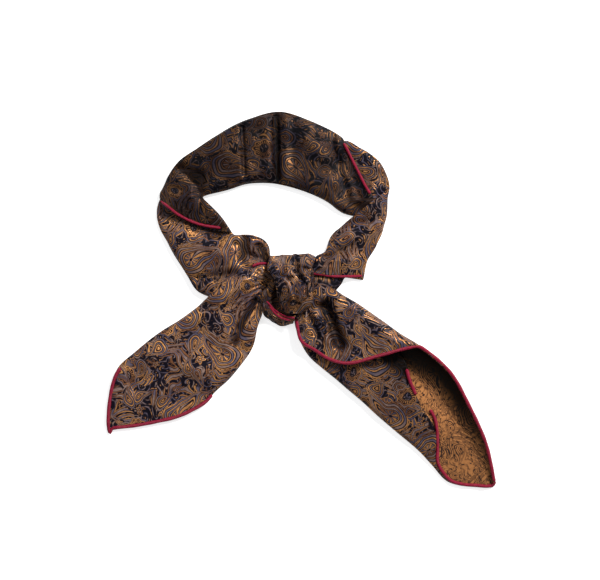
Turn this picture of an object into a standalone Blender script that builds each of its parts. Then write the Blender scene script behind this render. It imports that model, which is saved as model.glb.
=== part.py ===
"""A square jacquard silk scarf, folded on the bias, knotted in front and laid flat on a table.

Tables are in millimetres in the table's plane: x to the right and y up as seen from above, z up from
the table. The scarf's outline is centred on x = y = 0. Every stretch is a loft of sections between two
rims, A and B, and whatever lies on another stretch is draped over the heap built so far.
"""

import math

import bmesh
import bpy
import numpy as np
from mathutils import Vector
from mathutils.bvhtree import BVHTree

MM = 0.001
SCARF_LENGTH = 312.0  # across both tails
SCARF_DEPTH = 300.0  # from the back of the ring to the right tail's corner

WALL = 1.8  # one layer of jacquard with its loft
LAYER_GAP = 0.3  # air between stretches that touch
RIM_LIFT = 1.4  # a fold's edge stands this far off what it lies on
FLAT_FROM = 0.92  # share of its full height at which a rounded rim meets the flat underside
LEAST_THICK = 1.5  # what a crease leaves
ROUNDING = 4.0  # power of the superellipse that rounds a folded stretch's rims

LEFT_ROUND = 3.0  # radius of the right tail's left rim
SHORTEST_RUN = 1.2  # least length of the right tail's flap and of its mouth
TURN_STEP = 0.6  # least run at a turn of its section

CELL = 1.5  # grid on which the heap's height is kept
HEAP_SLOPE = 0.7  # steepest that cloth bridges down from a lower stretch
HEAP_SPREAD = 2  # cells by which a lower stretch is widened before it is bridged

HEM_RADIUS = 1.3
HEM_STEP = 6.5  # distance between a hem's points

INK_WEAVE = (0.045, 0.026, 0.022)
GOLD_WEAVE = (0.16, 0.060, 0.028)
HEM_RED = (0.30, 0.008, 0.040)

# Rims, the bow of the section towards the table's start, and the thickness of the folded stack.
LENS_COLUMNS = "x_a y_a x_b y_b bow thick"

NECK_LEFT = [
    (-111, 84, -77, 78, 0, 2.5),
    (-115, 75, -71, 72, 0, 3.5),
    (-115, 67, -66, 66, 0, 4.0),
    (-113, 56, -59, 59, 0, 4.5),
    (-107, 46, -54, 52, 0, 5.5),
    (-100, 34, -46, 52, 0, 6.5),
    (-90, 19, -38, 51, 0, 7.5),
    (-81, 6, -30, 47, 0, 8.0),
    (-66, 1, -26, 41, 0, 7.0),
    (-52, 9, -24, 34, 0, 6.0),
    (-36, 17, -22, 27, 0, 4.5),
]

NECK_RIGHT_TURN = [
    (30, 127, 44, 80, 0, 2.2),
    (37, 126, 51, 77, 0, 2.6),
    (48, 121, 54, 76, 0, 4.0),
    (57, 115, 56, 75, 0, 5.0),
    (64, 108, 57, 75, 0, 5.0),
    (68, 100, 58, 75.5, 0, 4.2),
    (70, 91, 59, 76, 0, 3.0),
    (69, 84, 60, 76.5, 0, 2.2),
]

NECK_BACK = [
    (-113, 81, -56, 54, 7, 2.2),
    (-114, 86, -64, 66, 5, 2.8),
    (-110, 93, -74, 77, 2, 4.0),
    (-105, 102, -78, 81, 0, 5.5),
    (-97, 112, -76, 83, 0, 7.0),
    (-83, 121, -71, 85, 0, 8.0),
    (-64, 134, -58, 88, 0, 8.0),
    (-41, 145, -40, 93, 0, 8.0),
    (-18, 150, -22, 93, 0, 7.5),
    (6, 144, -1, 88, 0, 8.0),
    (23, 136, 21, 79, 0, 7.0),
    (30, 131, 36, 69, 0, 5.0),
    (33, 128, 49, 68, 0, 3.0),
    (35, 126, 60, 76, 0, 2.2),
]

NECK_RIGHT_UNDER = [
    (41, 30, 12, 30, 0, 2.5),
    (38, 22, 7, 20, 0, 3.5),
    (34, 16, 4, 13, 0, 4.5),
    (29, 8, 3, 5, 0, 4.5),
    (23, 2, 3, -2, 0, 3.0),
]

NECK_RIGHT = [
    (70, 89, 41, 66, 0, 3.5),
    (69, 78, 36, 62, 0, 6.0),
    (67, 64, 30, 57, 0, 7.0),
    (64, 52, 25, 52, 0, 7.5),
    (59, 42, 22, 45, 0, 7.5),
    (54, 33, 20, 38, 0, 7.0),
    (52, 26, 12, 35, 0, 5.0),
    (50, 18, 4, 27, 0, 2.6),
]

TAIL_LEFT = [
    (-24, 27, -19, 12, 0, 5.0),
    (-31, 27, -24, 9, 0, 7.0),
    (-40, 25, -30, 2, 0, 9.0),
    (-50, 20, -32, -9, 0, 10.0),
    (-60, 14, -34, -21, 0, 10.0),
    (-74, 0, -38, -36, 0, 9.0),
    (-94, -17, -45, -52, 0, 7.5),
    (-114, -29, -56, -64, 0, 6.5),
    (-131, -42, -63, -70, 0, 5.5),
    (-145, -53, -70, -75, 0, 4.5),
    (-150, -63, -78, -84, 0, 3.6),
    (-152, -74, -94, -92, 0, 3.0),
    (-154, -85, -117, -97, 0, 2.6),
    (-155, -95, -137, -101, 0, 2.4),
    (-155, -101, -149, -103, 0, 2.2),
]

# The knot's turns, from the ring's side down.
KNOT_CORE = [
    (-20, 28, 8, 28, 0, 3.0),
    (-22, 22, 10, 22, 0, 5.0),
    (-26, 12, 10, 10, 0, 5.5),
    (-30, 3, 8, 0, 0, 5.0),
    (-29, -5, 4, -8, 0, 3.5),
    (-22, -12, -1, -14, 0, 2.5),
]

KNOT_WRAP = [
    (-25, 36, 11, 37, -1, 3.0),
    (-26, 33, 11, 34, 0, 6.5),
    (-26, 28, 9.5, 28, 0, 8.5),
    (-25, 21, 7, 22, 0, 9.0),
    (-21, 15, 7, 15, 0, 9.0),
    (-19, 9, 8, 9, 0, 9.0),
    (-18, 1, 9, 1, 0, 9.0),
    (-17, -6, 8, -5, 0, 7.0),
    (-11, -11, 0, -11, 0, 3.5),
]

KNOT_LOOP = [
    (-26, -3, -31, -1, 0, 3.5),
    (-25, -6, -31, -7, 0, 5.0),
    (-21, -9, -27, -13, 0, 6.0),
    (-16, -12, -20, -18, 0, 6.5),
    (-11, -13, -14, -21, 0, 6.5),
    (-6, -14, -8, -18, 0, 4.0),
]

# The right tail is one cloth: under-fold A lies on the table from the left rim (l) to the right rim (r).
# edge_a: where the folded-over flap ends; edge_b: where the left turn-over ends, both as fractions from
# l to r. pocket: how far the mouth reaches in. left, rise, top, lip: heights of the left turn-over, of the
# right rim's outermost point, of the flap and of the flap's edge. curl: radius of the right rim's roll.
SCROLL_COLUMNS = "x_l y_l x_r y_r edge_a edge_b pocket left rise top lip curl"

TAIL_RIGHT = [
    (-7, -5, 13, 13, 0.12, 0.50, 0.22, 2.6, 2.4, 5.5, 5.5, 3),
    (-6, -13, 21, 11, 0.08, 0.50, 0.18, 3.5, 3.5, 8.0, 7.5, 4),
    (-4, -20, 27, 8, 0.07, 0.50, 0.14, 4.5, 5.0, 11.0, 9.0, 6),
    (-1, -31, 33, 4, 0.06, 0.50, 0.12, 5.5, 6.0, 13.0, 9.5, 7),
    (6, -44, 45, -3, 0.13, 0.55, 0.19, 6.0, 7.0, 14.0, 10.0, 8),
    (17, -55, 58, -12, 0.18, 0.65, 0.34, 6.5, 7.0, 14.5, 11.0, 8),
    (27, -63, 68, -19, 0.30, 0.75, 0.62, 6.5, 7.5, 15.0, 12.5, 8),
    (38, -71, 79, -27, 0.64, 0.72, 0.98, 6.5, 8.5, 16.5, 15.5, 9),
    (49, -81, 91, -35, 0.95, 0.64, 1.0, 6.5, 13.0, 18.0, 17.5, 13),
    (60, -92, 105, -44, 1.0, 0.58, 1.0, 6.5, 15.5, 19.0, 18.5, 16),
    (74, -104, 119, -56, 1.0, 0.48, 1.0, 6.0, 15.0, 18.5, 18.0, 17),
    (98, -121, 134, -84, 1.0, 0.28, 1.0, 4.5, 12.0, 15.5, 15.0, 15),
    (106, -131, 140, -96, 1.0, 0.12, 1.0, 3.5, 10.0, 13.5, 13.0, 13),
    (118, -146, 148, -115, 1.0, 0.10, 1.0, 2.6, 7.0, 10.5, 10.0, 11),
    (129, -149, 151, -126, 1.0, 0.15, 1.0, 2.4, 5.0, 8.0, 7.6, 9),
    (142, -149.5, 154, -137, 1.0, 0.30, 1.0, 2.4, 3.2, 6.0, 5.6, 6),
    (150, -149.5, 155, -145, 1.0, 0.40, 1.0, 2.2, 2.2, 4.6, 4.4, 3),
]

# Ridges (height above 0) and creases (below 0), each along a line from 0 to 1:
# x_0, y_0, x_1, y_1, half width, height.
FOLDS = {
    "neck_back": [
        (-20, 146, -19, 96, 3.5, -3.5),
        (-27, 143, -27, 98, 4.0, 1.0),
        (-12, 143, -12, 96, 4.0, 1.2),
        (-96, 104, -81, 83, 6.0, -3.0),
        (-88, 88, -84, 73, 4.0, 1.2),
        (-66, 118, -40, 128, 6.0, 1.2),
        (2, 128, 22, 112, 6.0, 1.2),
    ],
    "neck_left": [
        (-42, 48, -47, 33, 3.5, -2.5),
        (-33, 40, -27, 31, 3.5, -2.5),
        (-36, 50, -38, 34, 4.0, 1.5),
        (-90, 52, -60, 34, 6.0, 1.0),
    ],
    "neck_right": [
        (58, 70, 34, 48, 5.0, 1.2),
        (44, 44, 16, 33, 4.0, -1.5),
    ],
    "tail_left": [
        (-36, 2, -49, -22, 3.0, -3.5),
        (-49, -22, -54, -35, 4.0, -2.5),
        (-42, 18, -78, -14, 4.0, 1.2),
        (-40, 10, -66, -22, 3.0, 1.2),
    ],
    "tail_right": [
        (17, -6, 26, -24, 4.0, -3.5),
        (26, -24, 33, -38, 4.0, -3.0),
        (8, -11, 18, -18, 3.0, 1.5),
        (18, -18, 21, -34, 3.0, 1.5),
        (42, -2, 84, -32, 6.0, 1.0),
    ],
}

PLEAT_TOPS = [(-21, 31), (-16, 30), (-11, 31), (-7, 31), (-3, 31), (2, 32), (7, 31)]
PLEAT_FOOT = (-5, 2)
PLEAT_REACH = 0.62  # how far down towards its foot a pleat runs
PLEAT_RIDGE = (1.5, 1.3)  # half width and height

GATHER_START = (-27, 15)
GATHER_ENDS = [(-44, 22), (-52, 14), (-54, 5), (-52, -4), (-46, -12), (-38, -16)]
GATHER_RIDGE = (1.8, 1.2)

# Hems that lie on the cloth they edge, as points along the middle of the red roll.
HEM_PATHS = {
    "hem_back_left": [(-112, 79), (-106, 74), (-99, 68.5), (-90, 63.5), (-81, 60), (-71, 58), (-64, 57)],
    "hem_back_right": [(34, 124.5), (39.5, 114), (45.5, 102), (51, 91), (55, 84)],
    "hem_neck_right": [(9, 22), (15, 21.5), (22, 20), (36, 19.7), (48.5, 20)],
    "hem_neck_left": [(-39, 27.5), (-35.5, 29.5), (-30, 30), (-27.5, 29)],
    "hem_tail_left": [
        (-144, -54.5),
        (-147.5, -60),
        (-150.5, -72),
        (-152.5, -85),
        (-153.5, -97),
        (-152.5, -101),
        (-146, -101),
        (-132, -99),
        (-117, -95.5),
        (-98, -91.5),
        (-85, -86),
        (-75, -80.5),
        (-71, -76),
    ],
    "hem_tail_right_low": [
        (148.5, -148.7),
        (141, -148.5),
        (129, -147.5),
        (119.5, -144.5),
        (113, -137.5),
        (109.5, -131),
        (109, -119),
        (108.5, -103),
        (106.5, -94),
        (103, -88),
    ],
    "hem_tail_right_inner": [(93, -77), (89.5, -70), (86.5, -63)],
    "hem_knot_loop": [(-24.5, -4.5), (-20.5, -9.5), (-15, -13), (-9.5, -14.5)],
}
HEM_OVER = {
    "neck_left": "hem_neck_left",
    "neck_back": "hem_back_left hem_back_right",
    "neck_right": "hem_neck_right",
    "tail_left": "hem_tail_left",
    "tail_right": "hem_tail_right_low hem_tail_right_inner",
    "knot_loop": "hem_knot_loop",
}


def smooth(rows, place, count):
    """Rows of numbers joined by smooth curves and read at evenly spaced places."""
    slope = np.gradient(rows, place, axis=0)
    found = []
    for at in np.linspace(0.0, place[-1], count):
        i = min(int(np.searchsorted(place, at, side="right")) - 1, len(rows) - 2)
        span = place[i + 1] - place[i]
        t = (at - place[i]) / span
        found.append(
            (2 * t**3 - 3 * t**2 + 1) * rows[i]
            + (t**3 - 2 * t**2 + t) * span * slope[i]
            + (3 * t**2 - 2 * t**3) * rows[i + 1]
            + (t**3 - t**2) * span * slope[i + 1]
        )
    return found


def read_table(columns, rows, stations):
    """Evenly spaced stations along a stretch, each a dictionary of the table's columns."""
    rows = np.array(rows, float)
    moved = np.diff(rows[:, :4], axis=0)
    step = (np.hypot(moved[:, 0], moved[:, 1]) + np.hypot(moved[:, 2], moved[:, 3])) / 2
    place = np.concatenate([[0.0], np.cumsum(step)])
    return [dict(zip(columns.split(), row)) for row in smooth(rows, place, stations)]


def even_path(path, step):
    """A hand-chosen path as a smooth curve with even steps."""
    path = np.array(path, float)
    place = np.concatenate([[0.0], np.cumsum(np.linalg.norm(np.diff(path, axis=0), axis=1))])
    return smooth(path, place, max(3, round(place[-1] / step) + 1))


class Heap:
    """The height of everything built so far, on a grid over the table."""

    def __init__(self):
        self.x = np.arange(-SCARF_LENGTH / 2 - 6, SCARF_LENGTH / 2 + 6, CELL)
        self.y = np.arange(-SCARF_DEPTH / 2 - 6, SCARF_DEPTH / 2 + 6, CELL)
        self.top = np.zeros((len(self.y), len(self.x)))

    def add(self, points, faces):
        """Raise the grid to this body's top, found by rays from above."""
        body = BVHTree.FromPolygons([Vector(p) for p in points], faces)
        low, high = np.min(points, axis=0), np.max(points, axis=0)
        for j in np.flatnonzero((self.y >= low[1] - CELL) & (self.y <= high[1] + CELL)):
            for i in np.flatnonzero((self.x >= low[0] - CELL) & (self.x <= high[0] + CELL)):
                hit = body.ray_cast(Vector((self.x[i], self.y[j], high[2] + 1)), Vector((0, 0, -1)))[0]
                if hit is not None:
                    self.top[j, i] = max(self.top[j, i], hit.z + LAYER_GAP)

    def add_cord(self, path, radius):
        """Raise the grid to the top of a cord that lies on the heap."""
        near = radius + CELL / 2
        for a, b in zip(path, path[1:]):
            for t in (0.0, 0.25, 0.5, 0.75, 1.0):
                x, y, z = np.array(a) * (1 - t) + np.array(b) * t
                away = np.hypot(self.x[None, :] - x, self.y[:, None] - y)
                self.top = np.where(away < near, np.maximum(self.top, z + radius + LAYER_GAP), self.top)

    def cover(self, slope=HEAP_SLOPE, spread=HEAP_SPREAD):
        """The heap's top as cloth bridges it: widened by some cells, then falling no steeper than slope."""
        over = self.top
        sides = ((0, 1), (1, 0), (0, -1), (-1, 0), (1, 1), (1, -1), (-1, 1), (-1, -1))
        for _ in range(spread):
            over = np.max([over] + [np.roll(over, side, (0, 1)) for side in sides], axis=0)
        for _ in range(int(np.max(over) / (slope * CELL)) + 1):
            fallen = [np.roll(over, side, (0, 1)) - slope * CELL * math.hypot(*side) for side in sides]
            over = np.max([over] + fallen, axis=0)
        return np.maximum(over, 0.0)

    def read(self, over, x, y):
        """A cover's height at one place, between the grid's points."""
        i = int((x - self.x[0]) / CELL)
        j = int((y - self.y[0]) / CELL)
        s = (x - self.x[i]) / CELL
        t = (y - self.y[j]) / CELL
        near = over[j, i] * (1 - s) + over[j, i + 1] * s
        far = over[j + 1, i] * (1 - s) + over[j + 1, i + 1] * s
        return near * (1 - t) + far * t


def fold_height(folds, x, y):
    """The sum of the ridges and creases at one place."""
    total = 0.0
    for x_0, y_0, x_1, y_1, half_width, height in folds:
        along = (x_1 - x_0, y_1 - y_0)
        t = ((x - x_0) * along[0] + (y - y_0) * along[1]) / (along[0] ** 2 + along[1] ** 2)
        t = min(max(t, 0.0), 1.0)
        away = math.hypot(x - x_0 - t * along[0], y - y_0 - t * along[1])
        total += height * math.exp(-((away / half_width) ** 2))
    return total


def knot_pleats():
    """Ridges that fan from the knot's top towards its foot."""
    half_width, height = PLEAT_RIDGE
    foot_x, foot_y = PLEAT_FOOT
    return [
        (x, y, x + (foot_x - x) * PLEAT_REACH, y + (foot_y - y) * PLEAT_REACH, half_width, height)
        for x, y in PLEAT_TOPS
    ]


def tail_gathers():
    """Ridges that fan out of the knot into the left tail."""
    return [(*GATHER_START, x, y, *GATHER_RIDGE) for x, y in GATHER_ENDS]


def lens_points(sections, across, folds, heap, over):
    """Closed sections of folded stretches: the top from rim A to rim B, then the underside back."""
    points = []
    for row in sections:
        chord = np.array([row["x_b"] - row["x_a"], row["y_b"] - row["y_a"]])
        bowed = np.array([chord[1], -chord[0]]) / np.hypot(*chord) * row["bow"]
        top, under = [], []
        for k in range(across + 1):
            u = (1 - math.cos(math.pi * k / across)) / 2
            full = max(0.0, 1 - abs(2 * u - 1) ** ROUNDING) ** (1 / ROUNDING)
            x, y = np.array([row["x_a"], row["y_a"]]) + chord * u + bowed * 4 * u * (1 - u)
            ground = heap.read(over, x, y)
            lift = min(RIM_LIFT, row["thick"] / 2)
            lift *= max(0.0, 1 - full / FLAT_FROM)
            low = ground + lift
            high = low + (row["thick"] - lift) * full + fold_height(folds, x, y) * full
            top.append((x, y, max(high, low + LEAST_THICK * full)))
            under.append((x, y, low))
        points.append(top + under[-2:0:-1])
    return points


def quarter(start, end, steps, first_flat):
    """Points along a quarter ellipse from start to end, both left out.

    first_flat: it leaves start level and reaches end upright; otherwise the other way round.
    """
    found = []
    for k in range(1, steps):
        angle = math.pi / 2 * k / steps
        s, c = math.sin(angle), 1 - math.cos(angle)
        s, c = (s, c) if first_flat else (c, s)
        found.append((start[0] + (end[0] - start[0]) * s, start[1] + (end[1] - start[1]) * c))
    return found


def straight(start, end, steps):
    """Points along a straight run, with its start and without its end."""
    return [
        (start[0] + (end[0] - start[0]) * k / steps, start[1] + (end[1] - start[1]) * k / steps)
        for k in range(steps)
    ]


def scroll_section(row, width):
    """The right tail's section as (distance from the left rim, height), and its flap edge's number.

    It runs from the left rim along the table, up round the right rim, back over the flap to its edge,
    into the mouth below the flap and out over the left turn-over.
    """
    left, rise, top, lip = row["left"], row["rise"], row["top"], row["lip"]
    inside = width - WALL
    flap_end = min(row["edge_a"] * width, inside - SHORTEST_RUN)
    depth = min(max(row["pocket"] * width, flap_end + SHORTEST_RUN), inside)
    left_round = min(LEFT_ROUND, width / 5)
    shows_reverse = row["edge_b"] * width < depth - SHORTEST_RUN
    turn = min(max(row["edge_b"] * width, left_round + TURN_STEP), depth - SHORTEST_RUN)
    floor = WALL if shows_reverse else left

    roll = min(row["curl"], 0.45 * width)
    fold = max(min(roll, (width - flap_end) / 2), TURN_STEP)
    mouth_roll = roll - WALL / 2 if depth == inside else (depth - flap_end) / 3
    floor_end = max(depth - max(mouth_roll, TURN_STEP), turn + TURN_STEP)
    mouth_top = min(max(fold - WALL, TURN_STEP), depth - flap_end - TURN_STEP / 2)
    middle = min(max(rise, floor + TURN_STEP), lip - WALL - TURN_STEP / 2)
    under_flap = min((depth - mouth_top - flap_end) / (width - fold - flap_end), 1.0)
    roof = lip + (top - lip) * under_flap - WALL

    outside = [(0, left / 2)] + quarter((0, left / 2), (left_round, 0), 2, False)
    outside += straight((left_round, 0), (width - roll, 0), 6)
    outside += [(width - roll, 0)] + quarter((width - roll, 0), (width, rise), 4, True)
    outside += [(width, rise)] + quarter((width, rise), (width - fold, top), 3, False)
    outside += straight((width - fold, top), (flap_end, lip), 7)
    inner = [(flap_end, lip), (flap_end, lip - WALL)]
    inner += straight((flap_end, lip - WALL), (depth - mouth_top, roof), 4)[1:]
    inner += [(depth - mouth_top, roof)]
    inner += quarter((depth - mouth_top, roof), (depth, middle), 2, True)
    inner += [(depth, middle)] + quarter((depth, middle), (floor_end, floor), 3, False)
    inner += straight((floor_end, floor), (turn, floor), 3)
    inner += [(turn, floor)]
    inner += straight((turn - TURN_STEP / 2, left), (left_round, left), 5)
    inner += [(left_round, left)] + quarter((left_round, left), (0, left / 2), 2, True)
    return outside + inner, len(outside)


def scroll_points(sections, folds, heap, over):
    """Closed sections of the right tail, with the middle of its flap's edge in each."""
    points, ends, inward = [], [], []
    for row in sections:
        left = np.array([row["x_l"], row["y_l"]])
        chord = np.array([row["x_r"], row["y_r"]]) - left
        width = np.hypot(*chord)
        section, flap = scroll_section(row, width)
        ring = []
        for far, height in section:
            x, y = left + chord / width * far
            full = min(max((height - WALL) / row["top"], 0.0), 1.0)
            ring.append((x, y, height + heap.read(over, x, y) + fold_height(folds, x, y) * full))
        points.append(ring)
        ends.append((np.array(ring[flap]) + np.array(ring[flap + 1])) / 2)
        inward.append(-chord / width)
    return points, beside(np.array(ends), inward, HEM_RADIUS + LAYER_GAP)


def beside(path, towards, distance):
    """A path moved sideways in the plan, square to its own run, on the side of the given directions."""
    run = np.gradient(path[:, :2], axis=0)
    square = np.column_stack([-run[:, 1], run[:, 0]]) / np.hypot(run[:, 0], run[:, 1])[:, None]
    square *= np.sign(np.sum(square * np.array(towards), axis=1))[:, None]
    return [(*(p[:2] + n * distance), p[2]) for p, n in zip(path, square)]


def loft(sections):
    """Points and faces of a closed body through rings of equally many points."""
    around = len(sections[0])
    points = [p for ring in sections for p in ring]
    faces = []
    for i in range(len(sections) - 1):
        for j in range(around):
            k = (j + 1) % around
            faces.append((i * around + j, i * around + k, (i + 1) * around + k, (i + 1) * around + j))
    last = (len(sections) - 1) * around
    faces.append(tuple(range(around)))
    faces.append(tuple(last + j for j in reversed(range(around))))
    return points, faces


def silk(name, colour, roughness):
    """A plain material in the photo's colour."""
    material = bpy.data.materials.new(name)
    material.use_nodes = True
    shader = material.node_tree.nodes["Principled BSDF"]
    shader.inputs["Base Color"].default_value = (*colour, 1)
    shader.inputs["Roughness"].default_value = roughness
    return material


def add_body(name, points, faces, collection, colour):
    """One named object from millimetre points, with its faces turned outwards."""
    mesh = bpy.data.meshes.new(name)
    mesh.from_pydata([Vector(p) * MM for p in points], [], faces)
    work = bmesh.new()
    work.from_mesh(mesh)
    bmesh.ops.recalc_face_normals(work, faces=work.faces)
    work.to_mesh(mesh)
    work.free()
    mesh.materials.append(silk(name, colour, 0.45))
    body = bpy.data.objects.new(name, mesh)
    collection.objects.link(body)
    return body


def add_hem(name, path, collection):
    """The red rolled hem as a round tube along its path."""
    curve = bpy.data.curves.new(name, "CURVE")
    curve.dimensions = "3D"
    curve.bevel_depth = HEM_RADIUS * MM
    curve.bevel_resolution = 1
    curve.use_fill_caps = True
    spline = curve.splines.new("POLY")
    spline.points.add(len(path) - 1)
    for point, place in zip(spline.points, path):
        point.co = (*(Vector(place) * MM), 1)
    curve.materials.append(silk(name, HEM_RED, 0.55))
    collection.objects.link(bpy.data.objects.new(name, curve))


def hem_on_heap(name, heap, collection):
    """A hem laid on the edge of the cloth below it."""
    over = heap.cover(slope=2.0, spread=1)
    path = [(x, y, heap.read(over, x, y) + HEM_RADIUS) for x, y in even_path(HEM_PATHS[name], HEM_STEP)]
    add_hem(name, path, collection)
    heap.add_cord(path, HEM_RADIUS)


def centre(collection):
    """Move the scarf in the plan so that its box's middle is over the origin."""
    depsgraph = bpy.context.evaluated_depsgraph_get()
    corners = []
    for body in collection.objects:
        mesh = bpy.data.meshes.new_from_object(body.evaluated_get(depsgraph))
        corners += [tuple(vertex.co) for vertex in mesh.vertices]
        bpy.data.meshes.remove(mesh)
    middle = (np.min(corners, axis=0) + np.max(corners, axis=0)) / 2
    for body in collection.objects:
        body.location = (-middle[0], -middle[1], 0)


def build():
    """Build the stretches from the table up, each on the heap of those before it."""
    for old in list(bpy.data.objects):
        bpy.data.objects.remove(old, do_unlink=True)
    scarf = bpy.data.collections.new("paisley_scarf")
    bpy.context.scene.collection.children.link(scarf)
    heap = Heap()
    folds = dict(FOLDS)
    folds["knot_wrap"] = knot_pleats()
    folds["tail_left"] = FOLDS["tail_left"] + tail_gathers()

    def add_stretch(name, rings, colour):
        points, faces = loft(rings)
        add_body(name, points, faces, scarf, colour)
        heap.add(points, faces)
        for hem in HEM_OVER.get(name, "").split():
            hem_on_heap(hem, heap, scarf)

    def add_lens(name, rows, stations, across, slope=HEAP_SLOPE, spread=HEAP_SPREAD):
        sections = read_table(LENS_COLUMNS, rows, stations)
        rings = lens_points(sections, across, folds.get(name, []), heap, heap.cover(slope, spread))
        add_stretch(name, rings, INK_WEAVE)

    add_lens("neck_left", NECK_LEFT, 22, 11)
    add_lens("neck_right_turn", NECK_RIGHT_TURN, 12, 8)
    add_lens("neck_back", NECK_BACK, 34, 12)
    add_lens("neck_right_under", NECK_RIGHT_UNDER, 8, 7)
    add_lens("neck_right", NECK_RIGHT, 16, 11)
    add_lens("tail_left", TAIL_LEFT, 32, 13)

    sections = read_table(SCROLL_COLUMNS, TAIL_RIGHT, 38)
    rings, edge = scroll_points(sections, FOLDS["tail_right"], heap, heap.cover())
    add_stretch("tail_right", rings, GOLD_WEAVE)
    add_hem("hem_tail_right", edge, scarf)
    heap.add_cord(edge, HEM_RADIUS)

    add_lens("knot_core", KNOT_CORE, 10, 9, slope=1.0, spread=1)
    add_lens("knot_loop", KNOT_LOOP, 10, 7, slope=1.0, spread=1)
    add_lens("knot_wrap", KNOT_WRAP, 20, 14, slope=1.4, spread=1)
    centre(scarf)


build()
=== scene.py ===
"""The looks of a knotted jacquard silk scarf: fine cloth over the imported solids, its weave, its hems.

Tables are in millimetres on the table, as in the part's own source: x to the right, y up as seen from
above, z up from the table.
"""

import math

import bpy
import numpy as np
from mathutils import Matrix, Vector
from mathutils.bvhtree import BVHTree


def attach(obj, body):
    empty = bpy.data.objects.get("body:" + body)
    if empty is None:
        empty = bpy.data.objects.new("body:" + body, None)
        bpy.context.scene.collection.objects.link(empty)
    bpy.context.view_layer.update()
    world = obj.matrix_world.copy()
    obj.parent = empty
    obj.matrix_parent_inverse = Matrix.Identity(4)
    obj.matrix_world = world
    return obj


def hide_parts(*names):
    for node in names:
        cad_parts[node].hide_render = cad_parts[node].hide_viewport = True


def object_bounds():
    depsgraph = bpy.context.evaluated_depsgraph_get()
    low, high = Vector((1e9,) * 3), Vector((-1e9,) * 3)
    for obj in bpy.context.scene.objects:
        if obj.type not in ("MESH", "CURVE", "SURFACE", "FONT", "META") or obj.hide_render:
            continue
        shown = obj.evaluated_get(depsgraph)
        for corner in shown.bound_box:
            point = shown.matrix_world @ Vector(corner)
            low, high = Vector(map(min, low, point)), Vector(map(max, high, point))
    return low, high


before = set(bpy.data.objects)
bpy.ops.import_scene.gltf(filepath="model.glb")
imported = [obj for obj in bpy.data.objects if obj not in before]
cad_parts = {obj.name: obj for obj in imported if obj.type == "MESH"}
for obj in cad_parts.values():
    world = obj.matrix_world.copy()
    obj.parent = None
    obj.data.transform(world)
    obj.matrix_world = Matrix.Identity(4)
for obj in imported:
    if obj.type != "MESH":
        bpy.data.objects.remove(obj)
cad_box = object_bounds()

MM = 0.001
PHOTO_WIDE = 600  # pixels
PHOTO_PIXEL = 0.8  # millimetres of the table in one pixel of the photo
PHOTO_CENTRE = (-0.8, 7.6)  # where the middle of the photo falls on the table

CLOTH = 1.0  # one layer of jacquard at a free edge
LAYER_GAP = 0.3  # air between one stretch and the next
CELL = 1.0  # grid on which the heap's height is kept
HEAP_EDGE = 6.0  # margin of that grid round the scarf
HEAP_SLOPE = 0.75  # steepest fall of cloth that bridges the heap
HEAP_SPREAD = 2  # cells by which the heap widens below the next cloth

RIM_SHARE = 0.6  # height of a folded rim against the stretch's full thickness
RIM_LAYERS = 3  # turns of cloth that show at a folded rim
RIM_POINTS = 5  # points round each turn
RIM_BEND = 80  # degrees that a turn bends each way
RIM_WANDER = 0.5  # how far the turns part from each other
RIM_ROLL = 1.2  # radius of the top's roll at a rim against the thickness
RIM_CROWD = 0.6  # how much closer together the top's points lie near the rims
FOLD_EASE = 3  # folds fade out this near a rim
FOLD_LEFT = 0.15  # share of a fold's height that is left at the rim
LEAST_TOP = 0.9  # least height of the top against its rims'

# Painted light and shade on the cloth, as shares of its own colour.
CREASE_SHADE = 0.17  # painted shade and light for each millimetre of a fold's height
SHADE_RANGE = (0.2, 1.3)  # darkest and lightest that folds make it
MOUTH_SHADOW_TONE = 0.03  # painted shadow deep in the right tail's mouth
REVERSE_LIT_TONE = 0.85  # the reverse where it is lit, outside its painted shadow
HIGHLIGHT_STRIP_TONE = 0.4  # painted highlight: how much brighter its brightest strip is
TURN_OVER_LIT_TONE = 0.57  # the left turn-over where it is lit, outside the flap's painted shadow
FLAP_LIGHT_TONE = 0.74  # painted light on the flap and the outer side

# Rims A and B, the bow of the section towards the table's start, and the thickness of the folded stack.
LENS_COLUMNS = "x_a y_a x_b y_b bow thick"

NECK_LEFT = [
    (-111, 84, -77, 78, 0, 2.5),
    (-115, 75, -71, 72, 0, 3.5),
    (-115, 67, -66, 66, 0, 4.0),
    (-112, 56, -59, 59, 0, 4.5),
    (-107, 46, -54, 52, 0, 5.5),
    (-100, 34, -46, 52, 0, 6.5),
    (-90, 19, -38, 51, 0, 7.5),
    (-81, 6, -30, 47, 0, 8.0),
    (-66, 1, -25.4, 41.6, 0, 7.0),
    (-52, 9, -24, 34, 0, 6.0),
    (-36, 17, -22, 27, 0, 4.5),
]

NECK_RIGHT_TURN = [
    (30, 127, 44, 80, 0, 2.2),
    (37.3, 126.6, 51, 77, 0, 2.6),
    (48, 121, 54, 76, 0, 4.0),
    (57, 115, 56, 75, 0, 5.0),
    (64, 108, 57, 75, 0, 5.0),
    (68.7, 100, 58, 75.5, 0, 4.2),
    (70.8, 91, 59, 76, 0, 3.0),
    (69.8, 84, 60, 76.5, 0, 2.2),
]

NECK_BACK = [
    (-113, 81, -54.5, 53, 7, 2.0),
    (-112.8, 85.5, -63, 65.5, 5, 2.6),
    (-109, 92.5, -74, 77, 2, 4.0),
    (-105.5, 99, -78, 81, 0, 5.5),
    (-98, 109, -76, 83, 0, 7.0),
    (-83.5, 119.5, -71, 85, 0, 8.0),
    (-64, 133, -58, 88, 0, 8.0),
    (-41, 144, -40, 93, 0, 8.0),
    (-18, 149.2, -22, 93, 0, 7.5),
    (6, 143.2, -1, 88, 0, 8.0),
    (23, 135.6, 21, 77.5, 0, 7.0),
    (30, 131.2, 36, 67.8, 0, 5.0),
    (33, 129, 48.5, 66.5, 0, 3.0),
    (35, 126, 60, 76, 0, 2.0),
]

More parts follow.
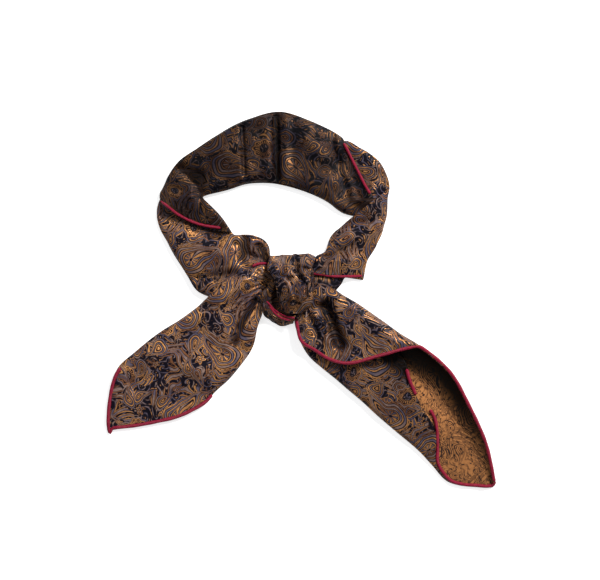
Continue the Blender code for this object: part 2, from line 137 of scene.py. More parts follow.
NECK_RIGHT_UNDER = [
    (41, 30, 8, 30, 0, 2.5),
    (38, 22, 5, 20, 0, 3.5),
    (34, 16, 4, 13, 0, 4.5),
    (29, 8, 3, 5, 0, 4.5),
    (23, 2, 3, -2, 0, 3.0),
]

NECK_RIGHT = [
    (70.8, 89, 40.5, 65.5, 0, 3.5),
    (69, 78, 36, 62, 0, 6.0),
    (67.5, 64, 31, 57, 0, 7.0),
    (64, 52, 25, 52, 0, 7.5),
    (59, 42, 22, 45, 0, 7.5),
    (54, 33, 19.5, 38, 0, 7.0),
    (52, 26, 12, 35, 0, 5.0),
    (49.5, 15.5, 4, 22, 0, 2.4),
]

TAIL_LEFT = [
    (-24, 27, -19, 12, 0, 5.0),
    (-31, 27, -24, 9, 0, 7.0),
    (-40, 25, -30, 2, 0, 9.0),
    (-50, 20, -31, -10.5, 0, 10.0),
    (-60, 14, -34.5, -20.3, 0, 10.0),
    (-74.6, 0.7, -38.4, -35.6, 0, 9.0),
    (-95.6, -15.8, -46.8, -50.7, 0, 7.5),
    (-115.3, -28.2, -57.4, -63.2, 0, 6.5),
    (-131.7, -41.7, -64.2, -69.5, 0, 5.5),
    (-145, -53, -70.2, -75, 0, 4.5),
    (-150.2, -63, -77.5, -84.2, 0, 3.6),
    (-152.6, -74, -93.7, -92.8, 0, 3.0),
    (-154.5, -85, -116.6, -98.7, 0, 2.6),
    (-155, -95, -136.9, -101.8, 0, 2.4),
    (-155, -101, -149, -103.3, 0, 2.2),
]

# The knot's turns, from the ring's side down.
KNOT_CORE = [
    (-20, 28, 8, 28, 0, 3.0),
    (-22, 22, 10, 22, 0, 5.0),
    (-26, 12, 10, 10, 0, 5.5),
    (-32, 3, 8, 0, 0, 5.0),
    (-31, -5, 4, -8, 0, 3.5),
    (-22, -13, -1, -15.5, 0, 2.5),
]

KNOT_WRAP = [
    (-25, 34, 11, 36, -0.6, 3.0),
    (-26, 31.6, 11, 33.4, 0, 6.5),
    (-26, 28, 9.5, 28, 0, 8.5),
    (-25, 21, 7, 22, 0, 9.0),
    (-21, 15, 7, 15, 0, 9.0),
    (-19, 9, 8, 9, 0, 9.0),
    (-18, 1, 9, 1, 0, 9.0),
    (-17, -6, 8, -5, 0, 7.0),
    (-11, -11, 0, -11, 0, 3.5),
]

KNOT_LOOP = [
    (-26, -3, -31, -1, 0, 3.5),
    (-25, -6, -31, -7, 0, 5.0),
    (-21, -9, -28, -13.7, 0, 6.0),
    (-16, -12, -20.5, -18.8, 0, 6.5),
    (-10.5, -13, -13, -21.2, 0, 6.5),
    (-4.5, -13, -6, -18.8, 0, 4.0),
]

# The right tail's sections, from its left rim (l) to its right rim (r). edge_a: where the folded-over
# flap ends; edge_b: where the left turn-over ends, both as fractions from l to r. pocket: how far the
# mouth reaches in. left, rise, top, lip: heights of the left turn-over, of the right rim's outermost
# point, of the flap and of the flap's edge. curl: radius of the right rim's roll.
SCROLL_COLUMNS = "x_l y_l x_r y_r edge_a edge_b pocket left rise top lip curl"

TAIL_RIGHT = [
    (-7, -5, 13, 13, 0.12, 0.50, 0.22, 2.6, 2.4, 5.5, 5.5, 3),
    (-6, -13, 21, 11, 0.08, 0.50, 0.18, 3.5, 3.5, 8.0, 7.5, 4),
    (-4.8, -20.7, 27, 8, 0.07, 0.50, 0.14, 4.5, 5.0, 11.0, 9.0, 6),
    (-1.5, -31.4, 33, 4, 0.03, 0.50, 0.12, 5.5, 6.0, 13.0, 9.5, 7),
    (5.6, -44.4, 45, -3, 0.13, 0.55, 0.19, 6.0, 7.0, 14.0, 10.0, 8),
    (17, -55, 58, -12, 0.18, 0.65, 0.34, 6.5, 7.0, 14.5, 11.0, 8),
    (27, -63, 68, -19, 0.30, 0.75, 0.62, 6.5, 7.5, 15.0, 12.5, 8),
    (37.2, -71.8, 79, -27, 0.64, 0.80, 0.98, 6.5, 8.5, 16.5, 15.5, 9),
    (48.6, -81.4, 91.5, -34.5, 0.95, 0.77, 1.0, 6.5, 13.0, 18.0, 17.5, 13),
    (60, -92, 105, -44, 1.0, 0.60, 1.0, 6.5, 15.5, 19.0, 18.5, 16),
    (74, -104, 118.3, -56.7, 1.0, 0.46, 1.0, 6.0, 15.0, 18.5, 18.0, 17),
    (96, -123, 134, -84, 1.0, 0.32, 1.0, 4.5, 12.0, 15.5, 15.0, 15),
    (104.6, -132.4, 140, -96, 1.0, 0.09, 1.0, 3.5, 10.0, 13.5, 13.0, 13),
    (118, -146, 148, -115, 1.0, 0.04, 1.0, 2.6, 7.0, 10.5, 10.0, 11),
    (129, -149, 151, -126, 1.0, 0.04, 1.0, 2.4, 5.0, 8.0, 7.6, 9),
    (142, -149.5, 153.4, -137.6, 1.0, 0.04, 1.0, 2.4, 3.2, 6.0, 5.6, 6),
    (150, -149.5, 155, -145, 1.0, 0.04, 1.0, 2.2, 2.2, 4.6, 4.4, 3),
]
SCROLL_STATIONS = 230
SCROLL_WEAVE = (1.2, (600, 400))  # turn and shift of the weave
LEFT_ROUND = 3.0  # largest radius of the left rim
SHORTEST_RUN = 1.2  # least length of a run round the section
TURN_STEP = 0.6  # least size of a turn between two runs
EDGE_BULGE = 0.2  # how far the middle of the flap's edge stands out

# Ridges (height above 0) and creases (below 0): x_0, y_0, x_1, y_1, half width, height.
FOLDS = {
    "neck_back": [
        (-20, 146, -19, 96, 2.2, -5.5),
        (-27, 143, -27, 98, 3.5, 1.4),
        (-12, 143, -12, 96, 3.5, 1.6),
        (-47, 138, -45, 100, 1.8, -2.6),
        (-95, 104, -83, 97, 5.0, -3.4),
        (-83, 97, -80, 84, 6.0, -3.6),
        (-88, 88, -84, 73, 4.0, 1.6),
        (-66, 118, -40, 128, 6.0, 1.2),
        (2, 128, 22, 112, 6.0, 1.2),
    ],
    "neck_left": [
        (-45, 49, -47, 31, 2.6, -4.5),
        (-33, 42, -27, 31, 2.8, -4.5),
        (-38, 50, -40, 34, 2.2, 1.6),
        (-90, 52, -60, 34, 6.0, 1.0),
        (-82, 17, -52, 21, 3.2, -2.8),
        (-110, 68.5, -66, 54, 4.4, -4.2),
        (-52, 44, -40, 35, 3.0, -2.2),
        (-40, 35, -27, 31, 2.5, -2.2),
    ],
    "neck_right": [
        (58, 70, 34, 48, 5.0, 1.2),
        (44, 44, 16, 33, 3.0, -2.5),
        (26, 38, 8, 31, 2.2, 1.4),
    ],
    "tail_left": [
        (-36, 0, -49, -22, 2.2, -5.5),
        (-49, -22, -54, -35, 3.0, -4.0),
        (-42, 18, -78, -14, 4.0, 1.2),
        (-40, 10, -66, -22, 3.0, 1.2),
        (-112, -44, -80, -58, 7.0, 1.2),
    ],
    "tail_right": [
        (19, -5, 31, -35, 5.0, -7.5),
        (10, -11, 20, -21, 1.8, 2.4),
        (20, -21, 21, -34, 1.8, 2.4),
        (8, -15, 13, -29, 2.2, -3.2),
        (3.5, -10, 4, -24, 1.6, 1.8),
        (42, -2, 84, -32, 6.0, 1.0),
    ],
    "knot_core": [
        (-21, 12, -25, 0, 1.0, 1.6),
        (-18, 14, -20, -4, 2.4, -2.4),
    ],
    "knot_wrap": [
        (-10.8, 34, -10.2, 19, 0.9, 1.6),
        (-8.0, 34, -8.0, 19, 0.9, 1.8),
        (-5.3, 34, -5.9, 19, 0.9, 1.6),
        (-13.0, 34, -12.0, 22, 1.3, -2.0),
        (-21, 32, -16, 27, 3.0, 1.2),
        (-4.0, 35, -3.0, 22, 1.5, -2.6),
        (1, 29, 9, 29, 3.5, 1.6),
        (2, 25, 12, 25, 1.3, -2.8),
        (2, 20, 7, 9, 1.8, 1.4),
        (7, 9, 8, 0, 1.8, 1.4),
        (-1.5, 18.5, 4.6, 12, 1.1, -2.2),
        (4.6, 12, 4.6, 3, 1.1, -2.2),
        (-13.5, 22, -6.5, 1, 1.2, 1.2),
        (-18.5, 19.5, -9, 17, 1.8, -2.0),
        (-10.5, -1, -1, -3, 1.2, -1.6),
        (-1, -3, 7, 2, 1.2, -1.6),
    ],
}

# Gathers fan from a point: its x and y, where they are deepest and where they end as distances from it,
# how many there are in a radian, and their height.
GATHERS = {
    "tail_left": (-23, 15, 9, 58, 26, 1.5),
    "tail_right": (2, 4, 8, 46, 16, 0.6),
    "neck_left": (-20, 27, 5, 42, 14, 0.8),
    "neck_right": (2, 27, 6, 42, 14, 0.6),
}

# Ripples of a stretch's first edge: their height, how many there are, and the stations they reach over.
RIPPLES = {"knot_wrap": (0.9, 3.4, 14)}

# Long, low waves over all the cloth: their length, heading in radians, phase and height.
WAVES = [
    (31, 0.4, 0.0, 0.30),
    (23, 1.9, 1.3, 0.25),
    (17, 2.8, 2.6, 0.16),
    (41, 1.2, 4.0, 0.35),
    (11, 0.9, 5.1, 0.08),
]

HEM_PATHS = {
    "hem_back_left": [
        (-112, 79), (-106, 74), (-99, 68.5), (-90, 63.5), (-81, 60), (-71, 58), (-64, 57),
    ],
    "hem_back_right": [(34, 124.5), (39.5, 114), (45.5, 102), (51, 91), (55, 84)],
    "hem_neck_right": [(8, 21), (15, 20.2), (24, 18.8), (36, 18.4), (49, 18.9)],
    "hem_neck_left": [(-39, 26.4), (-35.5, 28), (-30, 28.8), (-24.5, 28)],
    "hem_tail_left": [
        (-144, -54.5), (-147.5, -60), (-151.3, -72), (-153.3, -85), (-154, -96.5), (-153.8, -102),
        (-153.4, -105), (-152.7, -106.5), (-152.1, -105.2), (-151.5, -103.4), (-148.5, -102.5),
        (-141, -101.7), (-132, -100.6), (-117, -97.8), (-98, -93.2), (-85.2, -87.3), (-75.3, -80.9),
        (-71, -76),
    ],
    "hem_tail_right_low": [
        (154.4, -144.6), (154.1, -146.9), (152.7, -148.6), (150, -149), (141, -148.5), (129, -147.5),
        (119.5, -144.5), (113, -137.5), (109.5, -131), (109, -119), (108.5, -103), (106.5, -94),
        (103, -88),
    ],
    "hem_tail_right_inner": [(91.4, -76), (89.3, -70.8), (86.2, -63.5), (84.1, -55.1)],
    "hem_knot_loop": [(-27.4, -1.4), (-20.2, -9), (-13.1, -13.1), (-5, -14.6)],
    "hem_knot_loop_low": [(-25, -5.5), (-20.5, -11), (-14.5, -15), (-8.5, -16.5)],
}

# Each stretch: stations along it, points across it, the painted light of its cloth (low where the
# stretch lies in shade), the turn and the shift of the weave on it.
STRETCHES = {
    "neck_left": (NECK_LEFT, 130, 44, 0.69, 2.3, (40, 310)),
    "neck_right_turn": (NECK_RIGHT_TURN, 80, 36, 0.6, 0.4, (700, 20)),
    "neck_back": (NECK_BACK, 210, 46, 0.185, 0.0, (150, 95)),
    "neck_right_under": (NECK_RIGHT_UNDER, 46, 30, 0.55, 1.1, (420, 90)),
    "neck_right": (NECK_RIGHT, 100, 42, 0.72, 1.0, (260, 500)),
    "tail_left": (TAIL_LEFT, 210, 56, 0.93, 0.7, (90, 200)),
    "knot_core": (KNOT_CORE, 50, 36, 0.35, 0.2, (820, 610)),
    "knot_loop": (KNOT_LOOP, 60, 24, 0.5, 1.9, (510, 300)),
    "knot_wrap": (KNOT_WRAP, 90, 70, 0.65, 0.1, (333, 777)),
}
# Slope and spread of the heap below the knot's tight turns.
TIGHT = {"knot_core": (1.0, 1), "knot_loop": (1.0, 1), "knot_wrap": (1.4, 1)}
HEMS_OVER = {
    "neck_left": "hem_neck_left",
    "neck_back": "hem_back_left hem_back_right",
    "neck_right": "hem_neck_right",
    "tail_left": "hem_tail_left",
    "tail_right": "hem_tail_right_low hem_tail_right_inner",
    "knot_loop": "hem_knot_loop hem_knot_loop_low",
}
SCENE_HEMS = ("hem_knot_loop_low",)  # these stand for no node
HEM_RADII = {"tail": 1.4, "back": 1.1, "neck": 1.05, "knot": 0.8}
HEM_SIDES = 12  # points round a hem
HEM_STEP = 1.0  # steps along a hem's path
HEM_SLOPE = 2.0  # steepest fall of a hem
HEM_SPAN = 7  # steps over which its height is evened out
HEM_SINK = 0.35  # height of a hem's middle above the cloth it lies on, against its radius
HEM_FLAT = 0.85  # height of a hem's section against its width
HEM_END = 0.25  # width of a hem's ends against its middle
HEM_INSET = 0.3  # how far the flap's hem lies inside its edge, against its radius
HEM_EASE = 8  # rounds of smoothing on the path of the flap's hem
RIM_HEM = 2.2  # how far that hem moves out where it finishes the outer rim
RIM_NEAR = (4, 2)  # how near the rim it starts to move, and how near it is all the way out


# Form


def ramp(value, start, end):
    """0 at start and before it, 1 at end and beyond it, and rising evenly between them."""
    return np.clip((value - start) / (end - start), 0, 1)


def smooth(rows, place, count):
    """Rows of numbers joined by smooth curves and read at evenly spaced places."""
    rows = np.array(rows, float)
    slope = np.gradient(rows, place, axis=0)
    at = np.linspace(0.0, place[-1], count)
    i = np.clip(np.searchsorted(place, at, side="right") - 1, 0, len(rows) - 2)
    span = (place[i + 1] - place[i])[:, None]
    t = (at - place[i])[:, None] / span
    return (
        (2 * t**3 - 3 * t**2 + 1) * rows[i]
        + (t**3 - 2 * t**2 + t) * span * slope[i]
        + (3 * t**2 - 2 * t**3) * rows[i + 1]
        + (t**3 - t**2) * span * slope[i + 1]
    )


def read_table(columns, rows, stations):
    """A stretch's columns, each at evenly spaced stations along it."""
    rows = np.array(rows, float)
    moved = np.diff(rows[:, :4], axis=0)
    step = (np.hypot(moved[:, 0], moved[:, 1]) + np.hypot(moved[:, 2], moved[:, 3])) / 2
    place = np.concatenate([[0.0], np.cumsum(step)])
    return dict(zip(columns.split(), smooth(rows, place, stations).T))


def even_path(path):
    """A given path as a smooth curve with even steps."""
    path = np.array(path, float)
    place = np.concatenate([[0.0], np.cumsum(np.linalg.norm(np.diff(path, axis=0), axis=1))])
    return smooth(path, place, max(3, round(place[-1] / HEM_STEP) + 1))


class Heap:
    """The height of everything made so far, on a grid over the table."""

    def __init__(self, low, high):
        self.x = np.arange(low[0] / MM - HEAP_EDGE, high[0] / MM + HEAP_EDGE, CELL)
        self.y = np.arange(low[1] / MM - HEAP_EDGE, high[1] / MM + HEAP_EDGE, CELL)
        self.top = np.zeros((len(self.y), len(self.x)))

    def add(self, points, faces):
        """Raise the grid to this cloth's top, found by rays from above."""
        cloth = BVHTree.FromPolygons([Vector(p) for p in points], faces)
        low, high = np.min(points, axis=0), np.max(points, axis=0)
        for j in np.flatnonzero((self.y >= low[1] - CELL) & (self.y <= high[1] + CELL)):
            for i in np.flatnonzero((self.x >= low[0] - CELL) & (self.x <= high[0] + CELL)):
                hit = cloth.ray_cast(Vector((self.x[i], self.y[j], high[2] + 1)), Vector((0, 0, -1)))[0]
                if hit is not None:
                    self.top[j, i] = max(self.top[j, i], hit.z + LAYER_GAP)

    def cover(self, slope, spread):
        """The heap's top as cloth bridges it: widened by cells, then falling no steeper than slope."""
        top = self.top
        sides = ((0, 1), (1, 0), (0, -1), (-1, 0), (1, 1), (1, -1), (-1, 1), (-1, -1))
        for _ in range(spread):
            top = np.max([top] + [np.roll(top, side, (0, 1)) for side in sides], axis=0)
        for _ in range(int(np.max(top) / (slope * CELL)) + 1):
            fallen = [np.roll(top, side, (0, 1)) - slope * CELL * math.hypot(*side) for side in sides]
            top = np.max([top] + fallen, axis=0)
        return np.maximum(top, 0.0)

    def read(self, cover, x, y):
        """A cover's heights at many places, between the grid's points."""
        i = np.clip(((x - self.x[0]) / CELL).astype(int), 0, len(self.x) - 2)
        j = np.clip(((y - self.y[0]) / CELL).astype(int), 0, len(self.y) - 2)
        s = (x - self.x[i]) / CELL
        t = (y - self.y[j]) / CELL
        near = cover[j, i] * (1 - s) + cover[j, i + 1] * s
        far = cover[j + 1, i] * (1 - s) + cover[j + 1, i + 1] * s
        return near * (1 - t) + far * t


def fold_height(name, x, y):
    """The sum of a stretch's ridges, creases, gathers and waves at many places."""
    total = np.zeros(np.shape(x))
    for x_0, y_0, x_1, y_1, half_width, height in FOLDS.get(name, ()):
        along = (x_1 - x_0, y_1 - y_0)
        t = ((x - x_0) * along[0] + (y - y_0) * along[1]) / (along[0] ** 2 + along[1] ** 2)
        t = np.clip(t, 0.0, 1.0)
        away = np.hypot(x - x_0 - t * along[0], y - y_0 - t * along[1])
        total += height * np.exp(-((away / half_width) ** 2))
    if name in GATHERS:
        g_x, g_y, deepest, end, crowd, height = GATHERS[name]
        far = np.hypot(x - g_x, y - g_y)
        turn = np.arctan2(y - g_y, x - g_x)
        fade = ramp(far, 0, deepest) * ramp(far, end, deepest) ** 1.5
        uneven = 0.6 + 0.4 * np.cos(crowd * 0.37 * turn + 1.3)
        pleats = 1 - 2 * np.abs(np.sin(turn * crowd / 2 + 0.5 * np.sin(far / 9)))
        total += height * fade * uneven * pleats
    for length, heading, phase, height in WAVES:
        total += height * np.sin(
            2 * math.pi * (x * math.cos(heading) + y * math.sin(heading)) / length + phase + len(name)
        )
    return total


def crease_shade(name, rings):
    """Painted shade in the cloth's creases and painted light on its ridges, as shares of its colour."""
    fold = fold_height(name, rings[..., 0], rings[..., 1])
    return np.clip(1 + CREASE_SHADE * fold, *SHADE_RANGE)


def rounded(away, radius):
    """Rise of a rolled rim: from 0 at the rim to 1 at its radius and beyond."""
    return np.sqrt(1 - (1 - ramp(away, 0, radius)) ** 2)


def lens_rings(name, rows, stations, across, heap, cover):
    """Rings of a folded stretch, the middle of their top, and the way across each ring.

    A ring runs from the underside round the layered rim A, over the top and round the layered rim B.
    """
    row = read_table(LENS_COLUMNS, rows, stations)
    a = np.column_stack([row["x_a"], row["y_a"]])
    chord = np.column_stack([row["x_b"], row["y_b"]]) - a
    width = np.hypot(chord[:, 0], chord[:, 1])
    ahead = chord / width[:, None]
    bowed = np.column_stack([ahead[:, 1], -ahead[:, 0]]) * row["bow"][:, None]
    station = np.arange(stations)

    ripple, waves, reach = RIPPLES.get(name, (0, 1, 1))
    start = ramp(station, reach, 0) ** 2

    def place(u, out):
        """Points at a share u across, moved outwards past the nearer rim."""
        side = out if u > 0.5 else -out
        side = np.broadcast_to(np.asarray(side, float), (stations,))[:, None]
        flat = a + chord * u + bowed * 4 * u * (1 - u) + ahead * side
        flat[:, 1] += ripple * start * math.sin(2 * math.pi * waves * u + 2.0)
        return flat

    def ground(flat):
        return heap.read(cover, flat[:, 0], flat[:, 1])

    rim_height = RIM_SHARE * row["thick"]
    layer = rim_height / RIM_LAYERS

    def rim(u, upwards):
        found = []
        for level in range(RIM_LAYERS):
            shift = RIM_WANDER * np.sin(station / stations * (9 + 4 * level) + 2.1 * level + 5 * u)
            shift -= RIM_WANDER * (1 + (RIM_LAYERS - 1 - level) * 0.5)
            for angle in np.radians(np.linspace(-RIM_BEND, RIM_BEND, RIM_POINTS)):
                flat = place(u, shift + layer / 2 * math.cos(angle))
                height = ground(flat) + layer * (level + 0.5) + layer / 2 * math.sin(angle)
                found.append(np.column_stack([flat, height]))
        return found if upwards else found[::-1]

    def underside(*shares):
        return [np.column_stack([place(u, 0), ground(place(u, 0))]) for u in shares]

    top = []
    for k in range(across + 1):
        u = (1 - math.cos(math.pi * k / across)) / 2 * RIM_CROWD + k / across * (1 - RIM_CROWD)
        flat = place(u, -RIM_WANDER * np.cos(math.pi * min(u, 1 - u)) ** 8)
        away = min(u, 1 - u) * width
        full = rounded(away, RIM_ROLL * row["thick"])
        height = row["thick"] * (RIM_SHARE + (1 - RIM_SHARE) * full)
        height += fold_height(name, flat[:, 0], flat[:, 1]) * np.clip(away / FOLD_EASE, FOLD_LEFT, 1)
        top.append(np.column_stack([flat, ground(flat) + np.maximum(height, rim_height * LEAST_TOP)]))
    low = underside(0.5, 0.3, 0.1)
    rings = low + rim(0.0, True) + top + rim(1.0, False) + underside(0.9, 0.7)
    middle = len(low) + RIM_POINTS * RIM_LAYERS + len(top) // 2
    return np.stack(rings, axis=1), middle, ahead


def quarter(start, end, steps, first_flat):
    """Points along a quarter ellipse, its ends left out. first_flat: it leaves start level."""
    found = []
    for k in range(1, steps):
        angle = math.pi / 2 * k / steps
        s, c = math.sin(angle), 1 - math.cos(angle)
        s, c = (s, c) if first_flat else (c, s)
        found.append((start[0] + (end[0] - start[0]) * s, start[1] + (end[1] - start[1]) * c))
    return found


def straight(start, end, steps):
    """Points along a straight run, with its start and without its end."""
    return [
        (start[0] + (end[0] - start[0]) * k / steps, start[1] + (end[1] - start[1]) * k / steps)
        for k in range(steps)
    ]


def scroll_section(row, width):
    """The right tail's section as (distance from the left rim, height), and where its runs begin.

    It runs from the left rim along the table, up round the right rim, back over the flap to its edge,
    into the mouth below the flap and out over the left turn-over. All sections have as many points.
    """
    left, rise, top, lip = row["left"], row["rise"], row["top"], row["lip"]
    deepest = width - CLOTH
    flap_end = min(row["edge_a"] * width, deepest - SHORTEST_RUN)
    depth = min(max(row["pocket"] * width, flap_end + SHORTEST_RUN), deepest)
    left_round = min(LEFT_ROUND, 0.6 * left, width / 5)
    shows_reverse = row["edge_b"] * width < depth - SHORTEST_RUN
    turn = min(max(row["edge_b"] * width, left_round + TURN_STEP), depth - SHORTEST_RUN)
    floor = CLOTH if shows_reverse else left

    roll = min(row["curl"], 0.45 * width)
    fold = max(min(roll, (width - flap_end) / 2), TURN_STEP)
    mouth_roll = roll - CLOTH / 2 if depth == deepest else (depth - flap_end) / 3
    floor_end = max(depth - max(mouth_roll, TURN_STEP), turn + TURN_STEP)
    mouth_top = min(max(fold - CLOTH, TURN_STEP), depth - flap_end - TURN_STEP / 2)
    middle = min(max(rise, floor + TURN_STEP), lip - CLOTH - TURN_STEP / 2)
    under_flap = min((depth - mouth_top - flap_end) / (width - fold - flap_end), 1.0)
    roof = lip + (top - lip) * under_flap - CLOTH

    outside = [(0, left / 2)] + quarter((0, left / 2), (left_round, 0), 4, False)
    outside += straight((left_round, 0), (width - roll, 0), 8)
    outside += [(width - roll, 0)] + quarter((width - roll, 0), (width, rise), 12, True)
    rim = len(outside)
    outside += [(width, rise)] + quarter((width, rise), (width - fold, top), 8, False)
    outside += straight((width - fold, top), (flap_end, lip), 44)
    inner = [(flap_end, lip), (flap_end - EDGE_BULGE, lip - CLOTH / 2), (flap_end, lip - CLOTH)]
    inner += straight((flap_end, lip - CLOTH), (depth - mouth_top, roof), 30)[1:]
    inner += [(depth - mouth_top, roof)]
    inner += quarter((depth - mouth_top, roof), (depth, middle), 6, True)
    inner += [(depth, middle)] + quarter((depth, middle), (floor_end, floor), 14, False)
    inner += straight((floor_end, floor), (turn, floor), 26)
    inner += [(turn, floor)]
    turned = len(outside) + len(inner)
    inner += straight((turn - TURN_STEP / 2, left), (left_round, left), 34)
    inner += [(left_round, left)] + quarter((left_round, left), (0, left / 2), 6, True)
    return outside + inner, rim, len(outside), turned


def tail_painted_shading(section, flap, turned, row):
    """Painted shadow in the mouth, painted light beyond the flap's shadow, with one painted bright
    strip.
    """
    beyond = section[flap, 0] - section[:, 0]
    shadow = MOUTH_SHADOW_TONE + 0.45 * ramp(row["top"], 16.5, 8.5)
    reach = 1.7 * max(row["top"] - 8, 2) * (1 + 0.8 * ramp(row["edge_b"], 0.5, 0.77))
    lit = ramp(beyond / reach, 0.35, 1.1)
    highlight_strip = HIGHLIGHT_STRIP_TONE * np.exp(-(((beyond / reach - 1.3) / 0.5) ** 2))
    reverse = shadow + (REVERSE_LIT_TONE - shadow) * lit**2 * (3 - 2 * lit) + highlight_strip
    reach = 3 + 29 * ramp(row["edge_a"], 0.64, 0.95)
    lit = ramp(beyond / reach, 0.7, 1.0)
    turn_over = MOUTH_SHADOW_TONE + (TURN_OVER_LIT_TONE - MOUTH_SHADOW_TONE) * lit
    # painted shade along the turn-over's rim, which hides the highlight on it
    turn_over[turned - 1 : turned + 1] *= 0.4
    place = np.arange(len(section))
    return np.where(place <= flap, FLAP_LIGHT_TONE, np.where(place < turned - 1, reverse, turn_over))


def scroll_rings(rows, stations, heap, cover):
    """Rings of the right tail, its flap's hem, where its runs begin, the way across, and its painted
    shade.
    """
    table = read_table(SCROLL_COLUMNS, rows, stations)
    rings, ends, aheads, painted_shading = [], [], [], []
    for i in range(stations):
        row = {column: values[i] for column, values in table.items()}
        left = np.array([row["x_l"], row["y_l"]])
        chord = np.array([row["x_r"], row["y_r"]]) - left
        width = np.hypot(*chord)
        section, rim, flap, turned = scroll_section(row, width)
        section = np.array(section)
        painted_shading.append(tail_painted_shading(section, flap, turned, row))
        flat = left + chord / width * section[:, :1]
        upper = section[:, 1] - np.where(np.arange(len(section)) > flap, 0, CLOTH)
        full = ramp(upper, 0, row["top"])
        height = section[:, 1] + heap.read(cover, flat[:, 0], flat[:, 1])
        height += fold_height("tail_right", flat[:, 0], flat[:, 1]) * full
        ring = np.column_stack([flat, height])
        rings.append(ring)
        at_rim = ramp(width - section[flap, 0], *RIM_NEAR)
        ends.append(ring[flap + 1] + np.append(chord / width, 0) * at_rim * RIM_HEM)
        aheads.append(chord / width)
    aheads = np.array(aheads)
    ends = np.array(ends)
    for _ in range(HEM_EASE):
        ends[1:-1] = (ends[:-2] + 2 * ends[1:-1] + ends[2:]) / 4
    hem = beside(ends, -aheads, HEM_RADII["tail"] * HEM_INSET)
    return np.array(rings), hem, (rim, flap, turned), aheads, np.array(painted_shading)


def beside(path, towards, distance):
    """A path moved sideways in the plan, square to its own run, on the side of the given directions."""
    run = np.gradient(path[:, :2], axis=0)
    square = np.column_stack([-run[:, 1], run[:, 0]]) / np.hypot(run[:, 0], run[:, 1])[:, None]
    square *= np.sign(np.sum(square * towards, axis=1))[:, None]
    return np.column_stack([path[:, :2] + square * distance, path[:, 2]])


def loft_faces(stations, around):
    """Faces of a closed body through rings of equally many points."""
    faces = []
    for i in range(stations - 1):
        for j in range(around):
            k = (j + 1) % around
            faces.append((i * around + j, (i + 1) * around + j, (i + 1) * around + k, i * around + k))
    last = (stations - 1) * around
    faces.append(tuple(range(around)))
    faces.append(tuple(last + j for j in reversed(range(around))))
    return faces


def cloth_map(rings, ahead, runs, turn, shift):
    """Where both sides of each row of faces lie on the flat cloth, turned and shifted, in metres.

    A run starts at a row and unrolls the cloth from its anchor: runs hold the first row, the anchor's
    row, and which way the cloth goes before and after the anchor.
    """
    steps = np.linalg.norm(np.diff(rings, axis=1, append=rings[:, :1]), axis=2)
    arc = np.concatenate([np.zeros((len(rings), 1)), np.cumsum(steps, axis=1)], axis=1)
    sides = np.empty(rings.shape[:2] + (2, 2))
    for first, anchor, before, after in runs:
        away = arc - arc[:, anchor : anchor + 1]
        away *= np.where(away < 0, before, after)
        flat = rings[:, anchor, None, :2] + ahead[:, None, :] * away[:, :, None]
        sides[:, first:] = np.stack([flat[:, first:-1], flat[:, first + 1 :]], axis=2)
    c, s = math.cos(turn), math.sin(turn)
    x, y = sides[..., 0], sides[..., 1]
    return (np.stack([x * c - y * s, x * s + y * c], axis=-1) + np.array(shift)) * MM


def add_cloth(name, rings, uv, finishes, tone, finish_of=None):
    """One stretch as a mesh with its flat-cloth map, its painted light and shade, and its finishes."""
    stations, around = rings.shape[:2]
    points = rings.reshape(-1, 3)
    faces = loft_faces(stations, around)
    mesh = bpy.data.meshes.new(name)
    mesh.from_pydata([tuple(p) for p in points * MM], [], faces)
    corners = np.stack([uv[:-1, :, 0], uv[1:, :, 0], uv[1:, :, 1], uv[:-1, :, 1]], axis=2)
    corners = np.concatenate([corners.reshape(-1, 2), uv[0, :, 0], uv[-1, ::-1, 0]])
    mesh.uv_layers.new(name="Cloth").data.foreach_set("uv", corners.ravel())
    shade = mesh.attributes.new("tone", "FLOAT", "POINT")
    shade.data.foreach_set("value", np.broadcast_to(tone, len(points)).astype(np.float32))
    for finish in finishes:
        mesh.materials.append(finish)
    if finish_of is not None:
        mesh.polygons.foreach_set("material_index", finish_of * (stations - 1) + [0, 0])
    mesh.polygons.foreach_set("use_smooth", [True] * (len(faces) - 2) + [False] * 2)
    cloth = bpy.data.objects.new(name, mesh)
    bpy.context.scene.collection.objects.link(cloth)
    return cloth, points, faces


def add_hem(name, path, radius, finish):
    """The red rolled hem: a slightly flat tube along its path, with its own thread map."""
    run = np.gradient(path, axis=0)
    run /= np.linalg.norm(run, axis=1)[:, None]
    across = np.cross(run, (0, 0, 1.0))
    across /= np.linalg.norm(across, axis=1)[:, None]
    up = np.cross(across, run)
    arc = np.concatenate([[0.0], np.cumsum(np.linalg.norm(np.diff(path, axis=0), axis=1))])
    swell = rounded(np.minimum(arc, arc[-1] - arc), radius) * (1 - HEM_END) + HEM_END
    wide = radius * (1 + 0.05 * np.sin(arc / 2.3)) * swell
    rings = []
    for k in range(HEM_SIDES):
        angle = 2 * math.pi * k / HEM_SIDES
        out = across * (wide * math.cos(angle))[:, None]
        rings.append(path + out + up * (wide * HEM_FLAT * math.sin(angle))[:, None])
    rings = np.stack(rings, axis=1)
    around = np.arange(HEM_SIDES + 1) / HEM_SIDES * 2 * math.pi * radius
    uv = np.stack(np.broadcast_arrays(arc[:, None], around[None, :]), axis=2) * MM
    uv = np.stack([uv[:, :-1], uv[:, 1:]], axis=2)
    return add_cloth(name, rings, uv, [finish], 1.0)[0]


# Finish


FULL_TURN = 6.283  # radians


